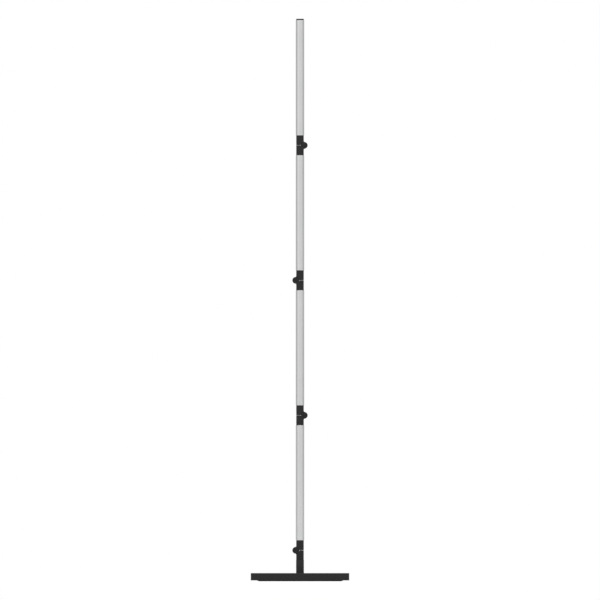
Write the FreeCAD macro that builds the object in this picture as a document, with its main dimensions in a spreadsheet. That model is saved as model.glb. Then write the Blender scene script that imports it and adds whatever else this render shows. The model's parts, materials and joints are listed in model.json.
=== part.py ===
import FreeCAD, Part
import os
import re

import Sketcher
from FreeCAD import Placement, Rotation, Vector

# A free-standing folding pole: four aluminium tubes joined by offset hinges, on a weighted foot.
# Millimetres, +Z up, origin on the floor under the middle of the foot, hinge axes along Y.
# Seen from -Y, the base and middle hinges have their knuckle on the left, the other two on the right.

SIZES = {
    "foot": {
        "base_width": 350.0,
        "base_depth": 250.0,
        "base_height": 26.0,
        "base_corner_radius": 4.0,
        "base_edge_radius": 1.0,
        "shell_wall": 2.0,
        "bottom_plate_thickness": 2.5,
        "bottom_plate_gap": 0.4,
        "boss_diameter": 10.0,
        "pad_thickness": 3.0,
        "pad_inset": 21.0,
        "pad_slope": 8.0,
        "pad_corner_radius": 14.0,
        "ballast_end_inset": 55.0,
        "ballast_side_inset": 35.0,
        "ballast_corner_radius": 6.0,
    },
    "foot fasteners": {
        "base_screw_inset": 15.0,
        "base_screw_diameter": 4.0,
        "base_screw_head": 8.0,
        "base_screw_length": 14.0,
        "base_screw_socket": 2.5,
        "base_screw_socket_depth": 1.6,
        "screw_clearance": 0.1,
        "bolt_diameter": 10.0,
        "bolt_head_width": 17.0,
        "bolt_head_height": 6.4,
        "bolt_reach": 14.0,
        "bolt_clearance": 0.4,
        "bolt_recess_clearance": 2.0,
        "bolt_recess_depth": 11.0,
        "bolt_washer_diameter": 24.0,
        "bolt_washer_thickness": 2.0,
        "thread_clearance": 0.05,
    },
    "pole": {
        "base_hinge_height": 110.0,
        "hinge_spacing": 480.0,
        "top_length": 450.0,
        "tube_diameter": 30.0,
        "tube_wall": 2.0,
        "post_wall": 1.0,
        "plug_height": 18.0,
        "plug_clearance": 0.05,
        "cap_inset": 1.4,
        "cap_height": 5.0,
        "cap_edge_radius": 1.0,
        "cap_plug_length": 20.0,
        "cap_plug_wall": 2.0,
    },
    "hinge": {
        "collar_inset": 1.5,
        "collar_length": 35.5,
        "collar_chamfer": 0.5,
        "spigot_length": 40.0,
        "post_spigot_length": 20.0,
        "spigot_clearance": 0.1,
        "spigot_wall": 4.0,
        "spigot_chamfer": 1.0,
        "hinge_floor": 26.0,
        "hinge_gap": 1.2,
        "fold_clearance": 0.25,
        "knuckle_diameter": 24.0,
        "knuckle_inset": 2.5,
        "knuckle_relief": 0.4,
        "tongue_width": 10.0,
        "web_radius": 4.0,
        "web_root": 1.0,
        "web_foot": 7.5,
        "web_taper": 9.0,
    },
    "hinge pivot": {
        "pin_diameter": 6.0,
        "pin_clearance": 0.05,
        "pin_seat_clearance": 0.02,
        "pin_head_diameter": 13.0,
        "pin_head_height": 1.6,
        "pin_head_edge_radius": 0.8,
        "pin_socket": 4.0,
        "pin_socket_depth": 2.2,
        "pin_cap_height": 3.0,
        "pin_cap_floor": 1.2,
        "bush_wall": 1.5,
        "slip_washer_diameter": 16.0,
        "slip_washer_thickness": 0.8,
        "side_clearance": 0.15,
    },
    "hinge lock": {
        "magnet_wall": 1.175,
        "magnet_thickness": 5.5,
        "magnet_air_gap": 0.2,
        "magnet_clearance": 0.1,
        "magnet_screw_diameter": 3.0,
        "magnet_screw_head": 6.0,
        "magnet_screw_length": 11.0,
        "magnet_screw_socket": 2.0,
        "magnet_screw_socket_depth": 1.2,
        "magnet_screw_sink": 0.2,
        "grub_diameter": 5.0,
        "grub_length": 5.0,
        "grub_sink": 0.2,
        "grub_socket": 2.5,
        "grub_socket_depth": 2.0,
        "grub_distance": 20.0,
        "post_grub_distance": 10.0,
    },
}

document = FreeCAD.newDocument("folding_pole")
sheet = document.addObject("Spreadsheet::Sheet", "Sizes")
row = 1
for group, sizes in SIZES.items():
    sheet.set("A%d" % row, group)
    row += 1
    for name, size in sizes.items():
        sheet.set("A%d" % row, name)
        sheet.set("B%d" % row, str(size))
        sheet.setAlias("B%d" % row, name)
        row += 1
document.recompute()


def sized(expression):
    """An expression whose size names, the words with an underscore, point at the sheet."""
    return re.sub(r"[a-z]+(_[a-z]+)+", r"Sizes.\g<0>", expression)


def value(expression):
    """The number that an expression gives with the sheet's present sizes."""
    return float(sheet.evalExpression(sized(expression)))


# Levels above the floor and radii that several pieces share.
BASE_TOP = "(pad_thickness + base_height)"
FOOT_BOTTOM = "pad_thickness"
CAVITY_FLOOR = "(pad_thickness + bottom_plate_thickness)"
CAVITY_CEILING = "(pad_thickness + base_height - shell_wall)"
TUBE_RADIUS = "(tube_diameter / 2)"
TUBE_BORE = "(tube_diameter / 2 - tube_wall)"
POST_RADIUS = "(tube_diameter / 2 - tube_wall + post_wall)"
COLLAR_RADIUS = "(tube_diameter / 2 - collar_inset)"
SPIGOT_RADIUS = "(tube_diameter / 2 - tube_wall - spigot_clearance)"
BOLT_RECESS_RADIUS = "(bolt_washer_diameter / 2 + bolt_recess_clearance)"
KNUCKLE_RADIUS = "(knuckle_diameter / 2)"
RELIEF_RADIUS = "(knuckle_diameter / 2 + knuckle_relief)"
HALF_KNUCKLE = "(tube_diameter / 2 - collar_inset - knuckle_inset)"
PIVOT = "(tube_diameter / 2 + fold_clearance)"
# The magnet fills the mating face between the collar's far side and the knuckle's relief, less a wall.
MAGNET_RADIUS = "((%s + %s - %s) / 2 - magnet_wall)" % (COLLAR_RADIUS, PIVOT, RELIEF_RADIUS)
MAGNET_OFFSET = "((%s - %s + %s) / 2)" % (COLLAR_RADIUS, PIVOT, RELIEF_RADIUS)
SLOT_HALF = "(tongue_width / 2 + side_clearance + slip_washer_thickness)"
HALF_GAP = "(hinge_gap / 2)"
PIN_RADIUS = "(pin_diameter / 2)"


# Each hinge: name, height of its axis, and the side of its knuckle (-1 is towards -X).
HINGES = (
    ("base_hinge", "base_hinge_height", -1),
    ("lower_hinge", "base_hinge_height + hinge_spacing", 1),
    ("middle_hinge", "base_hinge_height + 2 * hinge_spacing", -1),
    ("upper_hinge", "base_hinge_height + 3 * hinge_spacing", 1),
)
TUBES = ("lowest_tube", "second_tube", "third_tube", "top_tube")


# Sketches and features -------------------------------------------------------------------------

def new_body(label):
    body = document.addObject("PartDesign::Body", label)
    body.Label = label
    return body


def bind(item, path, expression):
    """Let an expression drive one property of a feature or one constraint of a sketch."""
    item.setExpression(path, sized(expression))


def pin_down(drawing, geometry, vertex, x, y, name):
    """Hold one vertex of a sketch at a place given by two expressions."""
    for kind, letter, expression in (("DistanceX", "x", x), ("DistanceY", "y", y)):
        constraint = Sketcher.Constraint(kind, -1, 1, geometry, vertex, value(expression))
        drawing.renameConstraint(drawing.addConstraint(constraint), letter + name)
        bind(drawing, "Constraints." + letter + name, expression)


def arc_between(start, end, radius):
    """A counter-clockwise arc; a positive radius puts its centre left of the way from start to end."""
    chord = end - start
    across = Vector(-chord.y, chord.x, 0).normalize()
    reach = (radius ** 2 - (chord.Length / 2) ** 2) ** 0.5
    centre = (start + end) * 0.5 + across * (reach if radius > 0 else -reach)
    first, last = (start, end) if radius > 0 else (end, start)
    angles = [Vector(1, 0, 0).getAngle(point - centre) for point in (first, last)]
    angles = [angle if (point - centre).y >= 0 else -angle for angle, point in zip(angles, (first, last))]
    return Part.ArcOfCircle(Part.Circle(centre, Vector(0, 0, 1), abs(radius)), angles[0], angles[1])


def draw(body, name, role, corners=(), circles=(), offset=None):
    """A sketch on one of the body's origin planes.

    corners is a closed outline of (x, y), or (x, y, radius) where the edge that leaves the corner
    is an arc; circles are (x, y, radius). Every number is an expression.
    """
    drawing = body.newObject("Sketcher::SketchObject", name)
    plane = [item for item in body.Origin.OriginFeatures if item.Role == role][0]
    drawing.AttachmentSupport = [(plane, "")]
    drawing.MapMode = "FlatFace"
    if offset is not None:
        bind(drawing, "AttachmentOffset.Base.z", offset)
    places = [Vector(value(corner[0]), value(corner[1]), 0) for corner in corners]
    ends = []
    for index, corner in enumerate(corners):
        start = places[index]
        end = places[(index + 1) % len(places)]
        if len(corner) == 3:
            radius = value(corner[2])
            drawing.addGeometry(arc_between(start, end, radius), False)
            ends.append((1, 2) if radius > 0 else (2, 1))
        else:
            drawing.addGeometry(Part.LineSegment(start, end), False)
            ends.append((1, 2))
    for index, corner in enumerate(corners):
        following = (index + 1) % len(corners)
        drawing.addConstraint(
            Sketcher.Constraint("Coincident", index, ends[index][1], following, ends[following][0]))
        pin_down(drawing, index, ends[index][0], corner[0], corner[1], "_corner%d" % index)
        if len(corner) == 3:
            radius = Sketcher.Constraint("Radius", index, abs(value(corner[2])))
            drawing.renameConstraint(drawing.addConstraint(radius), "arc%d" % index)
            bind(drawing, "Constraints.arc%d" % index, "abs(%s)" % corner[2])
    for index, (x, y, radius) in enumerate(circles, len(corners)):
        centre = Vector(value(x), value(y), 0)
        drawing.addGeometry(Part.Circle(centre, Vector(0, 0, 1), value(radius)), False)
        pin_down(drawing, index, 3, x, y, "_centre%d" % index)
        size = Sketcher.Constraint("Radius", index, value(radius))
        drawing.renameConstraint(drawing.addConstraint(size), "circle%d" % index)
        bind(drawing, "Constraints.circle%d" % index, radius)
    return drawing


def add_feature(body, kind, name, drawing):
    feature = body.newObject("PartDesign::" + kind, name)
    feature.Profile = drawing
    return feature


def pad(body, name, drawing, length, symmetric=False, forward=True):
    feature = add_feature(body, "Pad", name, drawing)
    bind(feature, "Length", length)
    feature.SideType = "Symmetric" if symmetric else "One side"
    feature.Reversed = not forward
    return feature


def pocket(body, name, drawing, length, symmetric=False, forward=True):
    """A cut that runs along the sketch's normal, or against it where forward is False."""
    feature = add_feature(body, "Pocket", name, drawing)
    bind(feature, "Length", length)
    feature.SideType = "Symmetric" if symmetric else "One side"
    feature.Reversed = forward
    return feature


def revolve(body, name, drawing):
    feature = add_feature(body, "Revolution", name, drawing)
    feature.ReferenceAxis = (drawing, ["V_Axis"])
    feature.Angle = 360
    return feature


def dress(body, kind, name, size, wanted):
    """A fillet or chamfer on the edges of the body's tip that the test picks."""
    document.recompute()
    base = body.Tip
    edges = ["Edge%d" % number for number, edge in enumerate(base.Shape.Edges, 1) if wanted(edge)]
    if not edges:
        raise RuntimeError("no edge for " + name + " of " + body.Label)
    feature = body.newObject("PartDesign::" + kind, name)
    feature.Base = (base, edges)
    bind(feature, "Radius" if kind == "Fillet" else "Size", size)
    return feature


def place(body, x="0", y="0", z="0", turn=0, flip=False):
    """Put a body in the assembly; flip turns it upside down before turn spins it about Z."""
    upright = Rotation(Vector(1, 0, 0), 180 if flip else 0)
    body.Placement = Placement(Vector(value(x), value(y), value(z)),
                               Rotation(Vector(0, 0, 1), turn).multiply(upright))
    for axis, expression in (("x", x), ("y", y), ("z", z)):
        bind(body, "Placement.Base." + axis, expression)


def gather(label, bodies):
    """Several loose pieces of one kind, kept as one node."""
    group = document.addObject("Part::Compound", label)
    group.Label = label
    group.Links = bodies
    return group


def at_level(edge, level):
    box = edge.BoundBox
    return abs(box.ZMin - level) < 1e-6 and abs(box.ZMax - level) < 1e-6


def is_circle(edge, radius):
    return isinstance(edge.Curve, Part.Circle) and abs(edge.Curve.Radius - radius) < 1e-6


def rounded_rectangle(width, depth, radius):
    """Corners of a rectangle about the origin, its own corners rounded; three sizes as expressions."""
    right = "(%s) / 2" % width
    back = "(%s) / 2" % depth
    return [
        ("-%s + %s" % (right, radius), "-" + back), ("%s - %s" % (right, radius), "-" + back, radius),
        (right, "-%s + %s" % (back, radius)), (right, "%s - %s" % (back, radius), radius),
        ("%s - %s" % (right, radius), back), ("-%s + %s" % (right, radius), back, radius),
        ("-" + right, "%s - %s" % (back, radius)), ("-" + right, "-%s + %s" % (back, radius), radius),
    ]


def hexagon(width):
    """Corners of a hexagon about the origin, from its width across flats."""
    reach = "(%s) / sqrt(3)" % width
    return [("%s * cos(%d)" % (reach, angle), "%s * sin(%d)" % (reach, angle))
            for angle in range(0, 360, 60)]


# The weighted foot -----------------------------------------------------------------------------

def base_screw_places():
    x = "(base_width / 2 - base_screw_inset)"
    y = "(base_depth / 2 - base_screw_inset)"
    return [("%d * %s" % (side, x), "%d * %s" % (end, y)) for side in (-1, 1) for end in (-1, 1)]


def make_floor_pad():
    """Rubber sheet under the foot, its rim sloping inwards to the floor."""
    body = new_body("floor_pad")
    top = draw(body, "pad_top", "XY_Plane", offset="pad_thickness",
               corners=rounded_rectangle("base_width - 2 * pad_inset", "base_depth - 2 * pad_inset",
                                         "pad_corner_radius"))
    bottom = draw(body, "pad_bottom", "XY_Plane",
                  corners=rounded_rectangle("base_width - 2 * (pad_inset + pad_slope)",
                                            "base_depth - 2 * (pad_inset + pad_slope)",
                                            "(pad_corner_radius - pad_slope)"))
    slab = add_feature(body, "AdditiveLoft", "slab", top)
    slab.Sections = [bottom]
    slab.Ruled = True
    hole = draw(body, "bolt_hole", "XY_Plane", circles=[("0", "0", BOLT_RECESS_RADIUS)])
    pocket(body, "bolt_opening", hole, "pad_thickness")
    return [body]


def make_base_shell():
    """Folded sheet-steel tray, open below, with four threaded bosses for the bottom plate."""
    body = new_body("base_shell")
    outline = draw(body, "outline", "XY_Plane", offset=FOOT_BOTTOM,
                   corners=rounded_rectangle("base_width", "base_depth", "base_corner_radius"))
    pad(body, "block", outline, "base_height")
    dress(body, "Fillet", "top_edge", "base_edge_radius", lambda edge: at_level(edge, value(BASE_TOP)))
    inside = draw(body, "inside", "XY_Plane", offset=FOOT_BOTTOM,
                  corners=rounded_rectangle("base_width - 2 * shell_wall", "base_depth - 2 * shell_wall",
                                            "(base_corner_radius - shell_wall)"))
    pocket(body, "cavity", inside, "base_height - shell_wall")
    bosses = draw(body, "bosses", "XY_Plane", offset=CAVITY_FLOOR,
                  circles=[(x, y, "boss_diameter / 2") for x, y in base_screw_places()])
    pad(body, "boss_posts", bosses, CAVITY_CEILING + " - " + CAVITY_FLOOR)
    threads = draw(body, "threads", "XY_Plane", offset=CAVITY_FLOOR,
                   circles=[(x, y, "base_screw_diameter / 2 + thread_clearance")
                            for x, y in base_screw_places()])
    pocket(body, "threaded_holes", threads, "base_screw_length")
    bolt = draw(body, "bolt", "XY_Plane", offset=CAVITY_CEILING,
                circles=[("0", "0", "bolt_diameter / 2 + bolt_clearance")])
    pocket(body, "bolt_hole", bolt, "shell_wall")
    return [body]


def make_bottom_plate():
    """Steel sheet that closes the tray from below, held by four countersunk screws."""
    body = new_body("bottom_plate")
    inner_width = "base_width - 2 * (shell_wall + bottom_plate_gap)"
    inner_depth = "base_depth - 2 * (shell_wall + bottom_plate_gap)"
    outline = draw(body, "outline", "XY_Plane", offset=FOOT_BOTTOM,
                   corners=rounded_rectangle(inner_width, inner_depth,
                                             "(base_corner_radius - shell_wall)"))
    pad(body, "sheet", outline, "bottom_plate_thickness")
    holes = draw(body, "holes", "XY_Plane", offset=FOOT_BOTTOM,
                 circles=[(x, y, "base_screw_diameter / 2 + screw_clearance")
                          for x, y in base_screw_places()])
    pocket(body, "screw_holes", holes, "bottom_plate_thickness")
    hole_radius = value("base_screw_diameter / 2 + screw_clearance")
    dress(body, "Chamfer", "countersinks", "(base_screw_head - base_screw_diameter) / 2",
          lambda edge: is_circle(edge, hole_radius) and at_level(edge, value(FOOT_BOTTOM)))
    recess = draw(body, "recess", "XY_Plane", offset=FOOT_BOTTOM,
                  circles=[("0", "0", BOLT_RECESS_RADIUS)])
    pocket(body, "bolt_opening", recess, "bottom_plate_thickness")
    return [body]


def make_base_screws():
    """Countersunk socket screws, flush with the bottom plate."""
    screws = []
    for number, (x, y) in enumerate(base_screw_places(), 1):
        body = new_body("base_screw_%d" % number)
        head = "base_screw_head / 2"
        shank = "base_screw_diameter / 2"
        profile = draw(body, "profile", "XZ_Plane", corners=[
            ("0", "0"), (head, "0"), (shank, head + " - " + shank),
            (shank, "base_screw_length"), ("0", "base_screw_length")])
        revolve(body, "turned", profile)
        socket = draw(body, "socket", "XY_Plane", corners=hexagon("base_screw_socket"))
        pocket(body, "drive", socket, "base_screw_socket_depth")
        place(body, x, y, FOOT_BOTTOM)
        screws.append(body)
    return [gather("base_screws", screws)]


def make_ballast_plate():
    """Steel block clamped between the tray's top and its bottom plate."""
    body = new_body("ballast_plate")
    outline = draw(body, "outline", "XY_Plane", offset=CAVITY_FLOOR,
                   corners=rounded_rectangle("base_width - 2 * ballast_end_inset",
                                             "base_depth - 2 * ballast_side_inset",
                                             "ballast_corner_radius"))
    pad(body, "block", outline, CAVITY_CEILING + " - " + CAVITY_FLOOR)
    through = draw(body, "through", "XY_Plane", offset=CAVITY_FLOOR,
                   circles=[("0", "0", "bolt_diameter / 2 + bolt_clearance")])
    pocket(body, "bolt_hole", through, CAVITY_CEILING + " - " + CAVITY_FLOOR)
    recess = draw(body, "recess", "XY_Plane", offset=CAVITY_FLOOR,
                  circles=[("0", "0", BOLT_RECESS_RADIUS)])
    pocket(body, "counterbore", recess, "bolt_recess_depth")
    return [body]


def make_centre_bolt():
    """Hexagon bolt from below, through the ballast and the tray into the post's plug."""
    body = new_body("centre_bolt")
    seat = "(%s + bolt_recess_depth - bolt_washer_thickness)" % CAVITY_FLOOR
    head = draw(body, "head", "XY_Plane", offset=seat + " - bolt_head_height",
                corners=hexagon("bolt_head_width"))
    pad(body, "hexagon_head", head, "bolt_head_height")
    shank = draw(body, "shank", "XY_Plane", offset=seat, circles=[("0", "0", "bolt_diameter / 2")])
    pad(body, "threaded_shank", shank, BASE_TOP + " + bolt_reach - " + seat)
    washer = new_body("centre_bolt_washer")
    ring = draw(washer, "ring", "XY_Plane", offset=seat,
                circles=[("0", "0", "bolt_washer_diameter / 2"),
                         ("0", "0", "bolt_diameter / 2 + bolt_clearance")])
    pad(washer, "disc", ring, "bolt_washer_thickness")
    return [body, washer]


def make_post():
    """Short steel post, with a threaded plug welded into its foot."""
    height = "(base_hinge_height - collar_length - %s)" % BASE_TOP
    post = new_body("post_tube")
    ring = draw(post, "ring", "XY_Plane", circles=[("0", "0", POST_RADIUS), ("0", "0", TUBE_BORE)])
    pad(post, "tube", ring, height)
    cut_grub_hole(post, POST_RADIUS, height + " - post_grub_distance", "screw_clearance")
    place(post, z=BASE_TOP)
    plug = new_body("post_plug")
    disc = draw(plug, "disc", "XY_Plane", circles=[
        ("0", "0", TUBE_BORE + " - plug_clearance"), ("0", "0", "bolt_diameter / 2 + thread_clearance")])
    pad(plug, "turned_disc", disc, "plug_height")
    place(plug, z=BASE_TOP)
    return [post, plug]


# Tubes, their grub screws and the top cap ------------------------------------------------------

def cut_grub_hole(body, radius, level, clearance, towards=1):
    """A hole for a grub screw through one wall: the wall on the +Y side, or on -Y where towards is -1."""
    hole = draw(body, "grub_hole_%d" % len(body.Group), "XZ_Plane", offset="%d * %s" % (-towards, radius),
                circles=[("0", level, "grub_diameter / 2 + " + clearance)])
    pocket(body, hole.Name + "_cut", hole, "%s / 2" % radius, forward=towards > 0)


def make_grub_screw(name, radius, level):
    """A socket grub screw just under the surface at the back of a tube."""
    body = new_body(name)
    face = "-%s + grub_sink" % radius
    end = draw(body, "end", "XZ_Plane", offset=face, circles=[("0", "0", "grub_diameter / 2")])
    pad(body, "rod", end, "grub_length")
    socket = draw(body, "socket", "XZ_Plane", offset=face, corners=hexagon("grub_socket"))
    pocket(body, "drive", socket, "grub_socket_depth")
    place(body, z=level)
    return body


def make_tube(label, foot, length, joined_above):
    """Drawn aluminium tube from one hinge's shoulder to the next one's."""
    body = new_body(label)
    ring = draw(body, "ring", "XY_Plane", circles=[("0", "0", TUBE_RADIUS), ("0", "0", TUBE_BORE)])
    pad(body, "tube", ring, length)
    cut_grub_hole(body, TUBE_RADIUS, "grub_distance", "screw_clearance")
    if joined_above:
        cut_grub_hole(body, TUBE_RADIUS, length + " - grub_distance", "screw_clearance")
    place(body, z=foot)
    return body


def make_top_cap():
    """Moulded cap pressed into the top tube, a little narrower than the tube."""
    body = new_body("top_cap")
    rim = TUBE_RADIUS + " - cap_inset"
    bore = SPIGOT_RADIUS + " - cap_plug_wall"
    profile = draw(body, "profile", "XZ_Plane", corners=[
        ("0", "0"), (bore, "0"), (bore, "-cap_plug_length"),
        (SPIGOT_RADIUS, "-cap_plug_length"), (SPIGOT_RADIUS, "0"), (rim, "0"),
        (rim, "cap_height - cap_edge_radius", "cap_edge_radius"),
        (rim + " - cap_edge_radius", "cap_height"), ("0", "cap_height")])
    revolve(body, "moulding", profile)
    place(body, z=HINGES[-1][1] + " + top_length - cap_height")
    return [body]


# Hinges ----------------------------------------------------------------------------------------

def half_profile(body, spigot_length):
    """Turned outline of one hinge half that hangs below the axis: collar, shoulder, hollow spigot."""
    bore = SPIGOT_RADIUS + " - spigot_wall"
    tip = "(collar_length + %s)" % spigot_length
    return draw(body, "half_profile", "XZ_Plane", corners=[
        ("0", "-" + HALF_GAP),
        (COLLAR_RADIUS + " - collar_chamfer", "-" + HALF_GAP),
        (COLLAR_RADIUS, "-" + HALF_GAP + " - collar_chamfer"),
        (COLLAR_RADIUS, "-collar_length"),
        (SPIGOT_RADIUS, "-collar_length"),
        (SPIGOT_RADIUS, "-%s + spigot_chamfer" % tip),
        (SPIGOT_RADIUS + " - spigot_chamfer", "-" + tip),
        (bore, "-" + tip),
        (bore, "-hinge_floor"),
        ("0", "-hinge_floor")])


def draw_web(body, name, offset=None):
    """The filler between collar and knuckle: hollow under the knuckle, then tapering into the collar."""
    fillet_x = "(%s - %s + web_radius)" % (COLLAR_RADIUS, PIVOT)
    reach = "(%s + web_radius)" % KNUCKLE_RADIUS
    drop = "sqrt(%s ^ 2 - %s ^ 2)" % (reach, fillet_x)
    share = "%s / %s" % (KNUCKLE_RADIUS, reach)
    return draw(body, name, "XZ_Plane", offset=offset, corners=[
        ("web_root", "-" + HALF_GAP),
        ("web_root", "-" + drop),
        ("web_foot", "-" + drop),
        ("web_foot", "-%s - web_taper" % drop),
        (COLLAR_RADIUS, "-" + drop, "-web_radius"),
        ("%s + %s * %s" % (PIVOT, fillet_x, share), "-%s * %s" % (drop, share)),
        (PIVOT, "-" + HALF_GAP)])


def cut_magnet_seat(body):
    """Pocket in the mating face for the magnet, and the pilot hole of its screw."""
    seat = draw(body, "magnet_seat", "XY_Plane", offset="-" + HALF_GAP,
                circles=[("-" + MAGNET_OFFSET, "0", MAGNET_RADIUS + " + magnet_clearance")])
    depth = "magnet_air_gap / 2 + magnet_thickness - " + HALF_GAP
    pocket(body, "magnet_pocket", seat, depth, forward=False)
    pilot = draw(body, "magnet_pilot", "XY_Plane", offset="-" + HALF_GAP,
                 circles=[("-" + MAGNET_OFFSET, "0", "magnet_screw_diameter / 2 + thread_clearance")])
    pocket(body, "magnet_thread", pilot, "magnet_screw_length + magnet_screw_sink", forward=False)


def make_fork(hinge, level, side, spigot_length, grub_distance):
    """Lower hinge half: a collar with two lugs that carry the pin."""
    body = new_body(hinge + "_fork")
    revolve(body, "collar", half_profile(body, spigot_length))
    slot = draw(body, "slot", "XZ_Plane", circles=[(PIVOT, "0", RELIEF_RADIUS)])
    pocket(body, "tongue_slot", slot, "2 * " + SLOT_HALF, symmetric=True)
    thickness = HALF_KNUCKLE + " - " + SLOT_HALF
    for name, near_face in (("front", SLOT_HALF), ("back", "-" + HALF_KNUCKLE)):
        web = draw_web(body, name + "_web", offset=near_face)
        pad(body, name + "_rib", web, thickness)
        disc = draw(body, name + "_disc", "XZ_Plane", offset=near_face,
                    circles=[(PIVOT, "0", KNUCKLE_RADIUS)])
        pad(body, name + "_lug", disc, thickness)
    hole = draw(body, "hole", "XZ_Plane", circles=[(PIVOT, "0", PIN_RADIUS + " + pin_seat_clearance")])
    pocket(body, "pin_hole", hole, "2 * " + HALF_KNUCKLE, symmetric=True)
    cut_magnet_seat(body)
    cut_grub_hole(body, SPIGOT_RADIUS, "-collar_length - " + grub_distance, "thread_clearance",
                  towards=side)
    place(body, z=level, turn=0 if side > 0 else 180)
    return body


def make_tongue(hinge, level, side):
    """Upper hinge half: a collar with one tongue between the lugs. Drawn hanging, then turned over."""
    body = new_body(hinge + "_tongue")
    revolve(body, "collar", half_profile(body, "spigot_length"))
    relief = draw(body, "relief", "XZ_Plane", circles=[(PIVOT, "0", RELIEF_RADIUS)])
    pocket(body, "lug_relief", relief, "2 * " + COLLAR_RADIUS, symmetric=True)
    pad(body, "rib", draw_web(body, "web"), "tongue_width", symmetric=True)
    disc = draw(body, "disc", "XZ_Plane", circles=[(PIVOT, "0", KNUCKLE_RADIUS)])
    pad(body, "knuckle", disc, "tongue_width", symmetric=True)
    hole = draw(body, "hole", "XZ_Plane",
                circles=[(PIVOT, "0", "%s + pin_clearance + bush_wall + pin_seat_clearance" % PIN_RADIUS)])
    pocket(body, "bush_hole", hole, "tongue_width", symmetric=True)
    cut_magnet_seat(body)
    cut_grub_hole(body, SPIGOT_RADIUS, "-collar_length - grub_distance", "thread_clearance",
                  towards=-side)
    place(body, z=level, turn=0 if side > 0 else 180, flip=True)
    return body


def make_pivot(hinge, level, side):
    """Pin with a low socket head, its cap at the back, a bush in the tongue and two slip washers."""
    made = []
    pin = new_body(hinge + "_pin")
    head = draw(pin, "head", "XZ_Plane", offset=HALF_KNUCKLE,
                circles=[("0", "0", "pin_head_diameter / 2")])
    pad(pin, "low_head", head, "pin_head_height")
    rim = value("pin_head_diameter / 2")
    front = -value(HALF_KNUCKLE + " + pin_head_height")
    dress(pin, "Fillet", "head_edge", "pin_head_edge_radius",
          lambda edge: is_circle(edge, rim) and abs(edge.BoundBox.YMin - front) < 1e-6)
    shank = draw(pin, "shank", "XZ_Plane", offset=HALF_KNUCKLE, circles=[("0", "0", PIN_RADIUS)])
    pad(pin, "rod", shank, "2 * %s + pin_cap_height - pin_cap_floor - screw_clearance" % HALF_KNUCKLE,
        forward=False)
    drive = draw(pin, "drive", "XZ_Plane", offset=HALF_KNUCKLE + " + pin_head_height",
                 corners=hexagon("pin_socket"))
    pocket(pin, "hexagon_socket", drive, "pin_socket_depth", forward=False)
    made.append(pin)

    cap = new_body(hinge + "_pin_cap")
    button = draw(cap, "button", "XZ_Plane", offset="-%s - pin_cap_height" % HALF_KNUCKLE,
                  circles=[("0", "0", "pin_head_diameter / 2")])
    pad(cap, "low_button", button, "pin_cap_height")
    back = value(HALF_KNUCKLE + " + pin_cap_height")
    dress(cap, "Fillet", "button_edge", "pin_head_edge_radius",
          lambda edge: is_circle(edge, rim) and abs(edge.BoundBox.YMin - back) < 1e-6)
    thread = draw(cap, "thread", "XZ_Plane", offset="-" + HALF_KNUCKLE,
                  circles=[("0", "0", PIN_RADIUS + " + pin_seat_clearance")])
    pocket(cap, "threaded_hole", thread, "pin_cap_height - pin_cap_floor", forward=False)
    made.append(cap)

    bush = new_body(hinge + "_bush")
    ring = draw(bush, "ring", "XZ_Plane", circles=[
        ("0", "0", PIN_RADIUS + " + pin_clearance + bush_wall"), ("0", "0", PIN_RADIUS + " + pin_clearance")])
    pad(bush, "sleeve", ring, "tongue_width", symmetric=True)
    made.append(bush)

    washers = []
    for name, near_face in (("front", SLOT_HALF + " - slip_washer_thickness"), ("back", "-" + SLOT_HALF)):
        washer = new_body("%s_%s_slip_washer" % (hinge, name))
        ring = draw(washer, "ring", "XZ_Plane", offset=near_face, circles=[
            ("0", "0", "slip_washer_diameter / 2"), ("0", "0", PIN_RADIUS + " + pin_clearance")])
        pad(washer, "disc", ring, "slip_washer_thickness")
        washers.append(washer)
    for piece in made + washers:
        place(piece, x="%d * %s" % (side, PIVOT), z=level)
    return made + [gather(hinge + "_slip_washers", washers)]


def make_magnet(label, level, side, flip):
    """Pot magnet in one mating face, on the side away from the knuckle."""
    body = new_body(label)
    screw = "(magnet_screw_diameter / 2 + screw_clearance)"
    head = "(magnet_screw_head / 2 + screw_clearance)"
    top = "-magnet_air_gap / 2"
    bottom = "-magnet_air_gap / 2 - magnet_thickness"
    profile = draw(body, "profile", "XZ_Plane", corners=[
        (head, top), (MAGNET_RADIUS, top), (MAGNET_RADIUS, bottom), (screw, bottom),
        (screw, "%s - magnet_screw_sink - %s + %s" % (top, head, screw)),
        (head, "%s - magnet_screw_sink" % top)])
    revolve(body, "pot", profile)
    place(body, x="%d * %s" % (-side, MAGNET_OFFSET), z=level, flip=flip)
    return body


def make_magnet_screw(label, level, side, flip):
    """Countersunk screw through a magnet into its hinge half."""
    body = new_body(label)
    head = "magnet_screw_head / 2"
    shank = "magnet_screw_diameter / 2"
    top = "(-magnet_air_gap / 2 - magnet_screw_sink)"
    tip = "-%s - magnet_screw_length" % HALF_GAP
    profile = draw(body, "profile", "XZ_Plane", corners=[
        ("0", top), (head, top), (shank, "%s - %s + %s" % (top, head, shank)), (shank, tip), ("0", tip)])
    revolve(body, "turned", profile)
    socket = draw(body, "socket", "XY_Plane", offset=top, corners=hexagon("magnet_screw_socket"))
    pocket(body, "drive", socket, "magnet_screw_socket_depth", forward=False)
    place(body, x="%d * %s" % (-side, MAGNET_OFFSET), z=level, flip=flip)
    return body


def make_hinge(index):
    """Fork, tongue, pivot and magnets of one hinge."""
    hinge, level, side = HINGES[index]
    if index == 0:
        fork = make_fork(hinge, level, side, "post_spigot_length", "post_grub_distance")
    else:
        fork = make_fork(hinge, level, side, "spigot_length", "grub_distance")
    made = [fork, make_tongue(hinge, level, side)]
    made += make_pivot(hinge, level, side)
    made.append(make_magnet(hinge + "_lower_magnet", level, side, flip=False))
    made.append(make_magnet(hinge + "_upper_magnet", level, side, flip=True))
    return made


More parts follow.
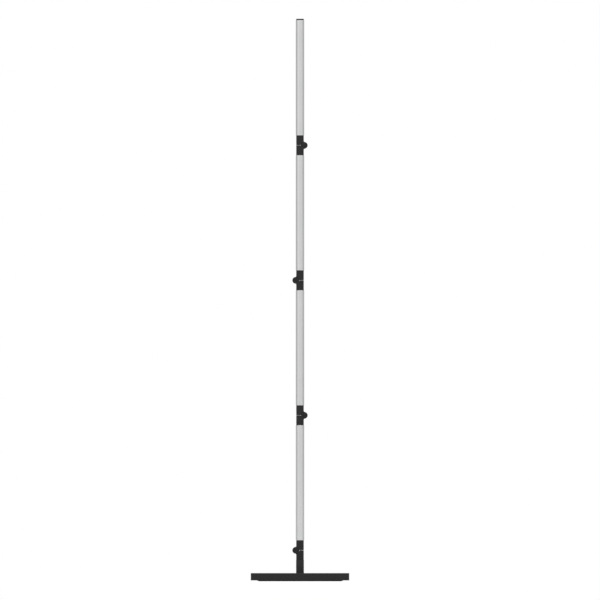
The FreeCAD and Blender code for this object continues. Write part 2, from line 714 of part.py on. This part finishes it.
def make_section_screws(label, ends, radius):
    """Grub screws and magnet screws of one section; ends lists its hinges as (index, is_above)."""
    grubs = []
    screws = []
    for index, is_above in ends:
        hinge, level, side = HINGES[index]
        distance = "post_grub_distance" if label == "post" else "grub_distance"
        sign = "-" if is_above else "+"
        grubs.append(make_grub_screw("%s_%s_grub" % (label, hinge), radius,
                                     "%s %s (collar_length + %s)" % (level, sign, distance)))
        screws.append(make_magnet_screw("%s_%s_magnet_screw" % (label, hinge), level, side, not is_above))
    return [gather(label + "_grub_screws", grubs), gather(label + "_magnet_screws", screws)]


def make_pole():
    made = make_section_screws("post", [(0, True)], POST_RADIUS)
    for index, label in enumerate(TUBES):
        made += make_hinge(index)
        last = index == len(TUBES) - 1
        length = "top_length - cap_height - collar_length" if last else "hinge_spacing - 2 * collar_length"
        made.append(make_tube(label, HINGES[index][1] + " + collar_length", length, not last))
        ends = [(index, False)] if last else [(index, False), (index + 1, True)]
        made += make_section_screws(label, ends, TUBE_RADIUS)
    return made + make_top_cap()


# Build, check and export -----------------------------------------------------------------------

nodes = make_floor_pad() + make_base_shell() + make_bottom_plate() + make_base_screws()
nodes += make_ballast_plate() + make_centre_bolt() + make_post() + make_pole()
document.recompute()

faults = [item.Label + " failed" for item in document.Objects
          if "Invalid" in item.State or "Error" in item.State]
for item in document.Objects:
    if item.TypeId == "PartDesign::Pocket" and item.BaseFeature.Shape.Volume - item.Shape.Volume < 1e-3:
        faults.append(item.Label + " cuts nothing")
for node in nodes:
    if node.Shape.isNull() or not node.Shape.isValid():
        faults.append(node.Label + " has no sound shape")
if faults:
    raise RuntimeError("; ".join(faults))

os.makedirs("parts", exist_ok=True)
for node in nodes:
    node.Shape.exportStep("parts/%s.step" % node.Label)
print(len(nodes), "nodes")
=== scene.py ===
import json
import math

import bmesh
import bpy
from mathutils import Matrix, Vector


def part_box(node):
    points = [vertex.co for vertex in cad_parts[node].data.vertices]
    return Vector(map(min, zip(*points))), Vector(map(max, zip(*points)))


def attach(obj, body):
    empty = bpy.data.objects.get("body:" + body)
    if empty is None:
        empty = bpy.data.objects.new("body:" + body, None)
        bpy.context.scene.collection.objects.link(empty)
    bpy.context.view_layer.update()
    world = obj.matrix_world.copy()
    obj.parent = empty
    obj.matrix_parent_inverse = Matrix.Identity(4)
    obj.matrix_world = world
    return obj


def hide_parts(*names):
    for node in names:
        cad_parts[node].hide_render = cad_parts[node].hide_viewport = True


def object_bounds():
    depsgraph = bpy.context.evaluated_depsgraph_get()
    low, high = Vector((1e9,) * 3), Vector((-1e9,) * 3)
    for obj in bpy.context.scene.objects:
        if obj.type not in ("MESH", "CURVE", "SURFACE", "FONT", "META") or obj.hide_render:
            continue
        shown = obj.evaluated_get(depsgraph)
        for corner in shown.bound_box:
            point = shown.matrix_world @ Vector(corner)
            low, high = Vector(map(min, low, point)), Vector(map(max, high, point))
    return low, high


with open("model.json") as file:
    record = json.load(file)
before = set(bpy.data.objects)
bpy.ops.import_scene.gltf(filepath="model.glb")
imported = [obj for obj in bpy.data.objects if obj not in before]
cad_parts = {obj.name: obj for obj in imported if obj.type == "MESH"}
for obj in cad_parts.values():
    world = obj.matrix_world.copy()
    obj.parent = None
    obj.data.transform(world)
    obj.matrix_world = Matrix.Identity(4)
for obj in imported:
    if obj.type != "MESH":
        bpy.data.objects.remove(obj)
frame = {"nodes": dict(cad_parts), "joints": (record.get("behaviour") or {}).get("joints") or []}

cad_nodes = frame["nodes"]
cad_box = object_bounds()
low, high = cad_box
scene = bpy.context.scene
MM = 0.001


# Camera -------------------------------------------------------------------------------------------
# It stands square in front of the stand, level with the middle of the pole, and sees it without
# perspective. The stand's height takes up fifteen sixteenths of the frame.

HEIGHT_SHARE = 15 / 16
CAMERA_DISTANCE = 4

camera_data = bpy.data.cameras.new("front_view")
camera_data.type = "ORTHO"
camera_data.ortho_scale = (high.z - low.z) / HEIGHT_SHARE
camera = bpy.data.objects.new("front_view", camera_data)
camera.location = (0, -CAMERA_DISTANCE, (low.z + high.z) / 2)
camera.rotation_euler = (math.radians(90), 0, 0)
scene.collection.objects.link(camera)
scene.camera = camera


# Studio light -------------------------------------------------------------------------------------
# A white room, brightest behind the camera, with the walls at the sides and back kept a little
# darker so that round bright parts keep their edges. One wide soft box hangs overhead, and a dim
# one stands at the left.

class Signal:
    """One output of a shader node. Arithmetic on it adds Math nodes to the same tree."""

    def __init__(self, tree, socket):
        self.tree = tree
        self.socket = socket

    def math(self, operation, *terms):
        return self.tree.node("ShaderNodeMath", {"operation": operation}, dict(enumerate(terms)))

    def __add__(self, other):
        return self.math("ADD", self, other)

    def __radd__(self, other):
        return self.math("ADD", other, self)

    def __sub__(self, other):
        return self.math("SUBTRACT", self, other)

    def __rsub__(self, other):
        return self.math("SUBTRACT", other, self)

    def __mul__(self, other):
        return self.math("MULTIPLY", self, other)

    def __rmul__(self, other):
        return self.math("MULTIPLY", other, self)

    def __abs__(self):
        return self.math("ABSOLUTE", self)


class Tree:
    """The shader nodes of a material or of the world."""

    def __init__(self, owner):
        owner.use_nodes = True
        self.nodes = owner.node_tree.nodes
        self.links = owner.node_tree.links

    def feed(self, node, sockets):
        """Link or set each named socket of a node."""
        for name, given in sockets.items():
            if isinstance(given, Signal):
                self.links.new(given.socket, node.inputs[name])
            else:
                node.inputs[name].default_value = given

    def node(self, kind, settings=None, sockets=None, output=0):
        """Add a node: its settings come first, then the values or links of its sockets."""
        made = self.nodes.new(kind)
        for name, setting in (settings or {}).items():
            setattr(made, name, setting)
        self.feed(made, sockets or {})
        return Signal(self, made.outputs[output])

    def step(self, signal, start, end, lowest=0.0, highest=1.0):
        """Runs smoothly from lowest to highest as the signal goes from start to end."""
        return self.node("ShaderNodeMapRange", {"interpolation_type": "SMOOTHSTEP"},
                         {"Value": signal, "From Min": start, "From Max": end,
                          "To Min": lowest, "To Max": highest})


SIDE_WALL_LIGHT = 0.53
FRONT_WALL_LIGHT = 0.78
AIM = Vector((0, 0, 0.9))

world = bpy.data.worlds.new("studio")
scene.world = world
scene.view_settings.view_transform = "Standard"
studio = Tree(world)
towards = studio.node("ShaderNodeTexCoord", output="Generated")
forward = studio.node("ShaderNodeSeparateXYZ", {}, {"Vector": towards}, "Y")
walls = studio.step(forward, -0.05, -0.45, SIDE_WALL_LIGHT, FRONT_WALL_LIGHT)
seen = studio.node("ShaderNodeLightPath", output="Is Camera Ray")
studio.feed(world.node_tree.nodes["Background"],
            {"Color": (1, 1, 1, 1), "Strength": walls + (1 - walls) * seen})

for name, place, width, watts in (("overhead_box", (0, -0.6, 4.2), 4.0, 100),
                                  ("left_box", (-3.0, -2.2, 1.6), 2.4, 3)):
    lamp_data = bpy.data.lights.new(name, "AREA")
    lamp_data.size = width
    lamp_data.energy = watts
    lamp = bpy.data.objects.new(name, lamp_data)
    lamp.location = place
    lamp.rotation_euler = (AIM - lamp.location).to_track_quat("-Z", "Y").to_euler()
    scene.collection.objects.link(lamp)


# Floor --------------------------------------------------------------------------------------------
# A plain pale painted floor. Away from the stand it fades out into the white of the room, so that
# no far edge is seen.

class Finish(Tree):
    """A material on one Principled shader. where is the place on the piece, in metres."""

    def __init__(self, name, constants):
        self.material = bpy.data.materials.new(name)
        super().__init__(self.material)
        self.shader = self.nodes["Principled BSDF"]
        self.feed(self.shader, constants)
        self.where = self.node("ShaderNodeTexCoord", output="Object")

    def along(self, axis):
        return self.node("ShaderNodeSeparateXYZ", {}, {"Vector": self.where}, axis)

    def grain(self, lumps, detail=2.0, stretch=(1, 1, 1)):
        """Noise about 0.5, with that many lumps to the metre along each axis times its stretch."""
        placed = self.node("ShaderNodeVectorMath", {"operation": "MULTIPLY"},
                           {0: self.where, 1: stretch})
        return self.node("ShaderNodeTexNoise", {},
                         {"Vector": placed, "Scale": lumps, "Detail": detail})

    def lesser(self, first, second):
        return first.math("MINIMUM", first, second)

    def tint(self, first, second, share):
        return self.node("ShaderNodeMix", {"data_type": "RGBA"},
                         {0: share, 6: (*first, 1), 7: (*second, 1)}, 2)

    def relief(self, height, depth, over=None):
        """A bump of that depth in metres, laid over another one where it is given."""
        sockets = {"Height": height, "Distance": depth}
        if over:
            sockets["Normal"] = over
        return self.node("ShaderNodeBump", {}, sockets, "Normal")

    def surface(self, colour, roughness, normal):
        self.feed(self.shader, {"Base Color": colour, "Roughness": roughness, "Normal": normal})


def link_mesh(name, mesh, finish):
    mesh.materials.append(finish.material)
    made = bpy.data.objects.new(name, mesh)
    scene.collection.objects.link(made)
    return made


FADE_START = 0.6
FADE_END = 5.0
FLOOR_LEVEL = low.z - 0.1 * MM
paint = Finish("pale_floor_paint", {"Specular IOR Level": 0.3})
mottle = paint.grain(3)
paint.surface(paint.tint((0.84, 0.84, 0.835), (0.88, 0.88, 0.875), mottle),
              0.55 + 0.1 * mottle, paint.relief(paint.grain(400), 0.02 * MM))
from_stand = paint.node("ShaderNodeVectorMath", {"operation": "LENGTH"}, {0: paint.where},
                        "Value")
paint.feed(paint.shader, {"Alpha": paint.step(from_stand, FADE_START, FADE_END, 1, 0)})
floor_mesh = bpy.data.meshes.new("floor")
floor_mesh.from_pydata([(x * FADE_END, y * FADE_END, FLOOR_LEVEL)
                        for x, y in ((-1, -1), (1, -1), (1, 1), (-1, 1))], [], [(0, 1, 2, 3)])
link_mesh("floor", floor_mesh, paint)


# Rubber floor pad ---------------------------------------------------------------------------------
# A moulded sheet of black rubber glued under the foot. Its rim slopes in to the floor, and its
# underside has grooves inside a plain border, so that it grips and lets grit through.

PAD_TOP_CORNER = 14 * MM
PAD_RIM_SLOPE = 8 * MM
PAD_OPENING = 14 * MM
GROOVE_PITCH = 6 * MM
GROOVE_WIDTH = 2.6 * MM
GROOVE_DEPTH = 1.3 * MM
GROOVE_BORDER = 9 * MM
OPENING_BORDER = 20 * MM
SAME_POINT = 0.001 * MM


def rounded_outline(left, right, front, back, radius, steps=8):
    """Points of a rounded rectangle, anticlockwise seen from above."""
    corners = ((right - radius, front + radius, -90), (right - radius, back - radius, 0),
               (left + radius, back - radius, 90), (left + radius, front + radius, 180))
    return [(x + radius * math.cos(math.radians(start + 90 * step / steps)),
             y + radius * math.sin(math.radians(start + 90 * step / steps)))
            for x, y, start in corners for step in range(steps + 1)]


def circle(radius, steps=96):
    return [(radius * math.cos(math.tau * step / steps), radius * math.sin(math.tau * step / steps))
            for step in range(steps)]


def add_piece(name, mesh, finish, body, stands_for, crease=35):
    """Shade a finished mesh smooth except at creases, and put it in place of its CAD node."""
    mesh.shade_smooth()
    mesh.set_sharp_from_angle(angle=math.radians(crease))
    piece = link_mesh(name, mesh, finish)
    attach(piece, body)
    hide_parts(stands_for)
    return piece


def ring_at(form, outline, level):
    """Put an outline into a form at a level, and give its points and edges."""
    points = [form.verts.new((x, y, level)) for x, y in outline]
    edges = [form.edges.new((points[index - 1], points[index])) for index in range(len(points))]
    return points, edges


def wall(form, first, second):
    """A band of faces between two rings with equal numbers of points."""
    for index in range(len(first)):
        form.faces.new((first[index - 1], first[index], second[index], second[index - 1]))


rubber = Finish("ribbed_rubber", {"Specular IOR Level": 0.35})
bloom = rubber.grain(24, 4)
rubber.surface(rubber.tint((0.012, 0.012, 0.012), (0.026, 0.026, 0.025), bloom),
               0.7 + 0.25 * rubber.grain(180), rubber.relief(rubber.grain(1500), 0.05 * MM))

pad_low, pad_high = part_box("floor_pad")
slope = PAD_RIM_SLOPE
form = bmesh.new()
top_ring, top_edges = ring_at(form, rounded_outline(pad_low.x, pad_high.x, pad_low.y, pad_high.y,
                                                    PAD_TOP_CORNER), pad_high.z)
rim_ring, rim_edges = ring_at(form, rounded_outline(pad_low.x + slope, pad_high.x - slope,
                                                    pad_low.y + slope, pad_high.y - slope,
                                                    PAD_TOP_CORNER - slope), pad_low.z)
wall(form, rim_ring, top_ring)
opening_top, opening_top_edges = ring_at(form, circle(PAD_OPENING), pad_high.z)
opening_low, opening_low_edges = ring_at(form, circle(PAD_OPENING), pad_low.z)
wall(form, opening_top, opening_low)
bmesh.ops.triangle_fill(form, edges=top_edges + opening_top_edges, use_beauty=True)

groove_end = pad_high.x - slope - GROOVE_BORDER
rows = int((pad_high.y - slope - GROOVE_BORDER) / GROOVE_PITCH)
under_edges = rim_edges + opening_low_edges
for row in range(-rows, rows + 1):
    middle = row * GROOVE_PITCH
    if abs(middle) < OPENING_BORDER:
        spans = ((-groove_end, -OPENING_BORDER), (OPENING_BORDER, groove_end))
    else:
        spans = ((-groove_end, groove_end),)
    for left, right in spans:
        outline = rounded_outline(left, right, middle - GROOVE_WIDTH / 2, middle + GROOVE_WIDTH / 2,
                                  GROOVE_WIDTH / 2, 4)
        outline = [point for index, point in enumerate(outline)
                   if math.dist(point, outline[index - 1]) > SAME_POINT]
        mouth, mouth_edges = ring_at(form, outline, pad_low.z)
        ceiling = ring_at(form, outline, pad_low.z + GROOVE_DEPTH)[0]
        wall(form, ceiling, mouth)
        form.faces.new(ceiling)
        under_edges += mouth_edges
bmesh.ops.triangle_fill(form, edges=under_edges, use_beauty=True)
bmesh.ops.recalc_face_normals(form, faces=form.faces)
pad_mesh = bpy.data.meshes.new("ribbed_floor_pad")
form.to_mesh(pad_mesh)
form.free()
add_piece("ribbed_floor_pad", pad_mesh, rubber, "stand", "floor_pad")


# Foot tray ----------------------------------------------------------------------------------------
# A shallow tray folded from sheet steel, its corners welded and ground, and the whole powder-coated
# black with a fine texture. The coat is rubbed a little along the upper rim and marked on top.

def coat(finish, *names):
    """Give CAD pieces a finish."""
    for name in names:
        for holder in cad_nodes[name].material_slots:
            holder.material = finish.material


RIM_WEAR = 1.6 * MM
shell_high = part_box("base_shell")[1]
powder = Finish("fine_textured_powder_coat", {"Specular IOR Level": 0.38})
across, deep, up = (powder.along(axis) for axis in "XYZ")
to_rim = powder.lesser(shell_high.x - abs(across), shell_high.y - abs(deep))
near_top = powder.step(up, shell_high.z - RIM_WEAR, shell_high.z - 0.2 * RIM_WEAR)
rubbed = powder.step(to_rim, RIM_WEAR, 0.2 * RIM_WEAR) * near_top
rubbed = rubbed * powder.step(powder.grain(60, 3), 0.42, 0.62)
hairline = powder.step(abs(powder.grain(11, 1) - 0.5), 0.006, 0.001)
scuff = hairline * powder.step(powder.grain(17), 0.5, 0.62) * near_top
clouds = powder.grain(8, 4)
texture = powder.grain(1300, 1)
powder.surface(
    powder.tint((0.0050, 0.0050, 0.0056), (0.0235, 0.0235, 0.0243),
                0.25 * clouds + 0.2 * texture + 0.5 * rubbed + 0.25 * scuff),
    0.42 + 0.16 * clouds + 0.1 * texture - 0.12 * rubbed,
    powder.relief(texture, 0.16 * MM, powder.relief(powder.grain(240, 1), 0.12 * MM)))
coat(powder, "base_shell")


# Bottom plate -------------------------------------------------------------------------------------
# Steel sheet that closes the tray from below, electrocoated black. The rolling marks of the sheet
# show faintly through the thin coat.

electrocoat = Finish("black_electrocoat", {"Specular IOR Level": 0.4})
rolling = electrocoat.grain(1, 3, (4, 700, 1))
electrocoat.surface(electrocoat.tint((0.014, 0.014, 0.015), (0.027, 0.027, 0.028),
                                     electrocoat.grain(14, 4)),
                    0.36 + 0.2 * rolling, electrocoat.relief(rolling, 0.02 * MM))
coat(electrocoat, "bottom_plate")


# Screws, bolt and washer under the foot -----------------------------------------------------------
# Four countersunk socket screws hold the bottom plate, and one hexagon bolt with a washer clamps
# tray, ballast and post together. All are steel with clear-passivated zinc.

HEAD_HEIGHT = 6.4 * MM
HEAD_CHAMFER_SHARE = 0.94
HEAD_CHAMFER_SLOPE = math.tan(math.radians(60))
HEAD_CHAMFER_STEPS = [0.2 * MM * step for step in range(7)]
BOLT_SIDES = 72
SHANK_RADIUS = 5 * MM
SHANK_CHAMFER = 0.8 * MM

zinc = Finish("passivated_zinc", {"Metallic": 1.0})
blush = zinc.grain(160, 3)
zinc.surface(zinc.tint((0.50, 0.52, 0.56), (0.64, 0.62, 0.57), blush),
             0.26 + 0.2 * zinc.grain(600, 3), zinc.relief(zinc.grain(1800), 0.01 * MM))
coat(zinc, "base_screws", "centre_bolt_washer")


def skin(name, rings, closed):
    """A mesh over rings of (x, y, z) points, joined end to end or capped."""
    count = len(rings[0])
    mesh = bpy.data.meshes.new(name)
    steps = list(zip(range(len(rings) - 1), range(1, len(rings))))
    if closed:
        steps.append((len(rings) - 1, 0))
    faces = [(a * count + i, a * count + (i + 1) % count,
              b * count + (i + 1) % count, b * count + i)
             for a, b in steps for i in range(count)]
    if not closed:
        faces.append(tuple(reversed(range(count))))
        faces.append(tuple(range(len(rings) * count - count, len(rings) * count)))
    mesh.from_pydata([point for ring in rings for point in ring], [], faces)
    return mesh


def hexagon_ring(across_flats, widest, level):
    """A hexagon with a corner on X, its corners cut back to the widest radius."""
    points = []
    for x, y in circle(1.0, BOLT_SIDES):
        angle = math.degrees(math.atan2(y, x)) % 60 - 30
        radius = min(across_flats / 2 / math.cos(math.radians(angle)), widest)
        points.append((radius * x, radius * y, level))
    return points


bolt_low, bolt_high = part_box("centre_bolt")
flats = bolt_high.y - bolt_low.y
face_radius = HEAD_CHAMFER_SHARE * flats / 2
rings = []
for rise in HEAD_CHAMFER_STEPS + [HEAD_HEIGHT]:
    rings.append(hexagon_ring(flats, face_radius + rise * HEAD_CHAMFER_SLOPE, bolt_low.z + rise))
for radius, level in ((SHANK_RADIUS, bolt_low.z + HEAD_HEIGHT),
                      (SHANK_RADIUS, bolt_high.z - SHANK_CHAMFER),
                      (SHANK_RADIUS - SHANK_CHAMFER, bolt_high.z)):
    rings.append([(x, y, level) for x, y in circle(radius, BOLT_SIDES)])
add_piece("centre_bolt_with_chamfered_head", skin("centre_bolt", rings, False), zinc, "stand",
          "centre_bolt", 20)


# Ballast and plug ---------------------------------------------------------------------------------
# A flame-cut steel block fills the tray for weight, and a turned steel plug is welded into the foot
# of the post for the bolt. Both are bare, lightly oiled steel with some mill scale left.

steel = Finish("oiled_steel", {"Metallic": 1.0})
scale = steel.step(steel.grain(26, 5), 0.45, 0.6)
steel.surface(steel.tint((0.30, 0.30, 0.31), (0.12, 0.125, 0.135), scale),
              0.3 + 0.25 * scale, steel.relief(steel.grain(500, 4), 0.05 * MM))
coat(steel, "ballast_plate", "post_plug")


# Post ---------------------------------------------------------------------------------------------
# A short steel tube that stands on the tray and takes the lowest hinge, powder-coated satin black
# after its ends were deburred and its grub screw hole was drilled at the back.

POST_BORE = 26 * MM
END_CHAMFER = 0.35 * MM
HOLE_CLEARANCE = 0.1 * MM
HOLE_EDGE = 0.35 * MM
HOLE_MARGIN = 8 * MM
HOLE_SIDES = 48


def drill(mesh, radius, level, start, surface):
    """Cut a hole with a broken edge through the back wall of a tube, from a start in its hollow."""
    rings = [[(x, depth, level + z) for x, z in reversed(circle(size, HOLE_SIDES))]
             for size, depth in ((radius, start), (radius, surface - HOLE_EDGE),
                                 (radius + 2 * HOLE_EDGE, surface + HOLE_EDGE))]
    tool = bpy.data.objects.new("drill", skin("drill", rings, False))
    blank = bpy.data.objects.new("blank", mesh)
    for item in (tool, blank):
        scene.collection.objects.link(item)
    cut = blank.modifiers.new("hole", "BOOLEAN")
    cut.object = tool
    cut.solver = "EXACT"
    graph = bpy.context.evaluated_depsgraph_get()
    drilled = bpy.data.meshes.new_from_object(blank.evaluated_get(graph))
    for item in (tool, blank):
        bpy.data.objects.remove(item)
    return drilled


def cut_tube(node, screws, bore):
    """A tube as long and wide as its CAD node, with chamfered ends and its grub screw holes."""
    start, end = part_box(node)
    outside = (end.x - start.x) / 2
    inside = bore / 2
    screw_start, screw_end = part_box(screws)
    screw_radius = (screw_end.x - screw_start.x) / 2
    # One screw gives the same level twice, so the two are rounded before they are compared.
    levels = sorted({round(screw_start.z + screw_radius, 4), round(screw_end.z - screw_radius, 4)})
    outer = [(outside - END_CHAMFER, start.z), (outside, start.z + END_CHAMFER)]
    inner = [(inside, end.z), (inside, start.z)]
    for level in levels:
        outer += [(outside, level - HOLE_MARGIN), (outside, level + HOLE_MARGIN)]
        inner[1:1] = [(inside, level + HOLE_MARGIN), (inside, level - HOLE_MARGIN)]
    outer += [(outside, end.z - END_CHAMFER), (outside - END_CHAMFER, end.z)]
    inner[1:-1] = sorted(inner[1:-1], key=lambda corner: -corner[1])
    rings = [[(x, y, level) for x, y in circle(radius)] for radius, level in outer + inner]
    mesh = skin(node, rings, True)
    for level in levels:
        mesh = drill(mesh, screw_radius + HOLE_CLEARANCE, level, inside / 2, outside)
    return mesh


satin = Finish("satin_powder_coat", {"Specular IOR Level": 0.4})
peel = satin.grain(420, 1)
satin.surface(satin.tint((0.0098, 0.0098, 0.0107), (0.024, 0.024, 0.025), satin.grain(30, 4)),
              0.28 + 0.16 * satin.grain(70, 3), satin.relief(peel, 0.12 * MM))
add_piece("short_post", cut_tube("post_tube", "post_grub_screws", POST_BORE), satin, "stand",
          "post_tube")


# Hinge mouldings ----------------------------------------------------------------------------------
# Each hinge is a fork below and a tongue above, moulded in black glass-filled nylon from a
# spark-eroded tool. The tool's joint leaves a fine line along the middle of each half, and the
# glass shows as a faint streaky sheen.

LINE_WIDTH = 0.25 * MM
hinges = [joint["name"].removesuffix("_fold") for joint in frame["joints"]]
sections = [joint["child"] for joint in frame["joints"]]
nylon = Finish("glass_filled_nylon", {"Specular IOR Level": 0.37})
spark = nylon.grain(2400, 1)
streaks = nylon.grain(1, 3, (160, 160, 45))
joint_line = nylon.step(abs(nylon.along("Y")), LINE_WIDTH, 0.3 * LINE_WIDTH)
nylon.surface(nylon.tint((0.0050, 0.0050, 0.0055), (0.016, 0.016, 0.017),
                         0.6 * streaks + 0.2 * spark),
              0.32 + 0.22 * streaks + 0.1 * spark,
              nylon.relief(joint_line, 0.08 * MM, nylon.relief(spark, 0.12 * MM)))
for hinge in hinges:
    coat(nylon, hinge + "_fork", hinge + "_tongue")


# Hinge pins ---------------------------------------------------------------------------------------
# A turned steel pin with a low socket head passes through each hinge from the front, and a threaded
# cap closes it at the back. Both are blackened by a hot oxide bath and oiled.

blackened = Finish("black_oxide", {"Metallic": 1.0})
bath = blackened.grain(300, 4)
blackened.surface(blackened.tint((0.022, 0.022, 0.024), (0.055, 0.054, 0.052), bath),
                  0.3 + 0.2 * blackened.grain(900, 2), blackened.relief(bath, 0.01 * MM))
for hinge in hinges:
    coat(blackened, hinge + "_pin", hinge + "_pin_cap")


# Bushes and slip washers --------------------------------------------------------------------------
# A turned brass bush pressed into each tongue runs on the pin, and a washer punched from natural
# nylon sheet lies on either side of it, between tongue and fork.

brass = Finish("turned_brass", {"Metallic": 1.0})
tool_marks = brass.grain(1, 2, (60, 4000, 60))
brass.surface(brass.tint((0.62, 0.42, 0.16), (0.50, 0.33, 0.13), brass.grain(200, 3)),
              0.24 + 0.16 * tool_marks, brass.relief(tool_marks, 0.01 * MM))
natural = Finish("natural_nylon_sheet", {"Specular IOR Level": 0.45, "Subsurface Weight": 0.12,
                                         "Subsurface Scale": 0.002})
natural.surface(natural.tint((0.66, 0.64, 0.57), (0.74, 0.72, 0.66), natural.grain(120, 3)),
                0.38 + 0.16 * natural.grain(700), natural.relief(natural.grain(900), 0.02 * MM))
for hinge in hinges:
    coat(brass, hinge + "_bush")
    coat(natural, hinge + "_slip_washers")


# Magnets and screws of the sections ---------------------------------------------------------------
# Nickel-plated pot magnets, one in each mating face and screwed to it, pull each hinge shut. Zinc
# grub screws at the back of each tube press on the hinge's spigot.

nickel = Finish("bright_nickel", {"Metallic": 1.0})
polish = nickel.grain(1, 3, (2600, 90, 2600))
nickel.surface(nickel.tint((0.38, 0.37, 0.35), (0.47, 0.46, 0.435), nickel.grain(250, 3)),
               0.14 + 0.16 * polish, nickel.relief(polish, 0.004 * MM))
for hinge in hinges:
    coat(nickel, hinge + "_lower_magnet", hinge + "_upper_magnet")
coat(zinc, "post_grub_screws", "post_magnet_screws")


# Pole tubes ---------------------------------------------------------------------------------------
# Four drawn aluminium tubes, sawn and chamfered, then satin anodised in the natural colour. Drawing
# leaves fine lines along them, and hands leave faint smears near the hinges.

TUBE_BORE = 26 * MM
tubes = ("lowest_tube", "second_tube", "third_tube", "top_tube")
anodised = Finish("satin_anodised_aluminium", {"Metallic": 1.0})
drawn = anodised.grain(1, 4, (1500, 1500, 2.5))
smears = anodised.grain(16, 4)
anodised.surface(
    anodised.tint((0.67, 0.673, 0.678), (0.83, 0.833, 0.836), 0.7 * drawn + 0.3 * smears),
    0.20 + 0.16 * drawn + 0.12 * smears, anodised.relief(drawn, 0.02 * MM))
for tube, section in zip(tubes, sections):
    add_piece("anodised_" + tube, cut_tube(tube, tube + "_grub_screws", TUBE_BORE), anodised,
              section, tube)
    coat(zinc, tube + "_grub_screws", tube + "_magnet_screws")


# Top cap ------------------------------------------------------------------------------------------
# A black moulded plug pressed into the top tube; its low crown is a little narrower than the tube.

moulded = Finish("moulded_cap_plastic", {"Specular IOR Level": 0.4})
flow = moulded.grain(110, 3)
moulded.surface(moulded.tint((0.0070, 0.0070, 0.0075), (0.019, 0.019, 0.020), flow),
                0.34 + 0.16 * flow, moulded.relief(moulded.grain(1900, 1), 0.09 * MM))
coat(moulded, "top_cap")
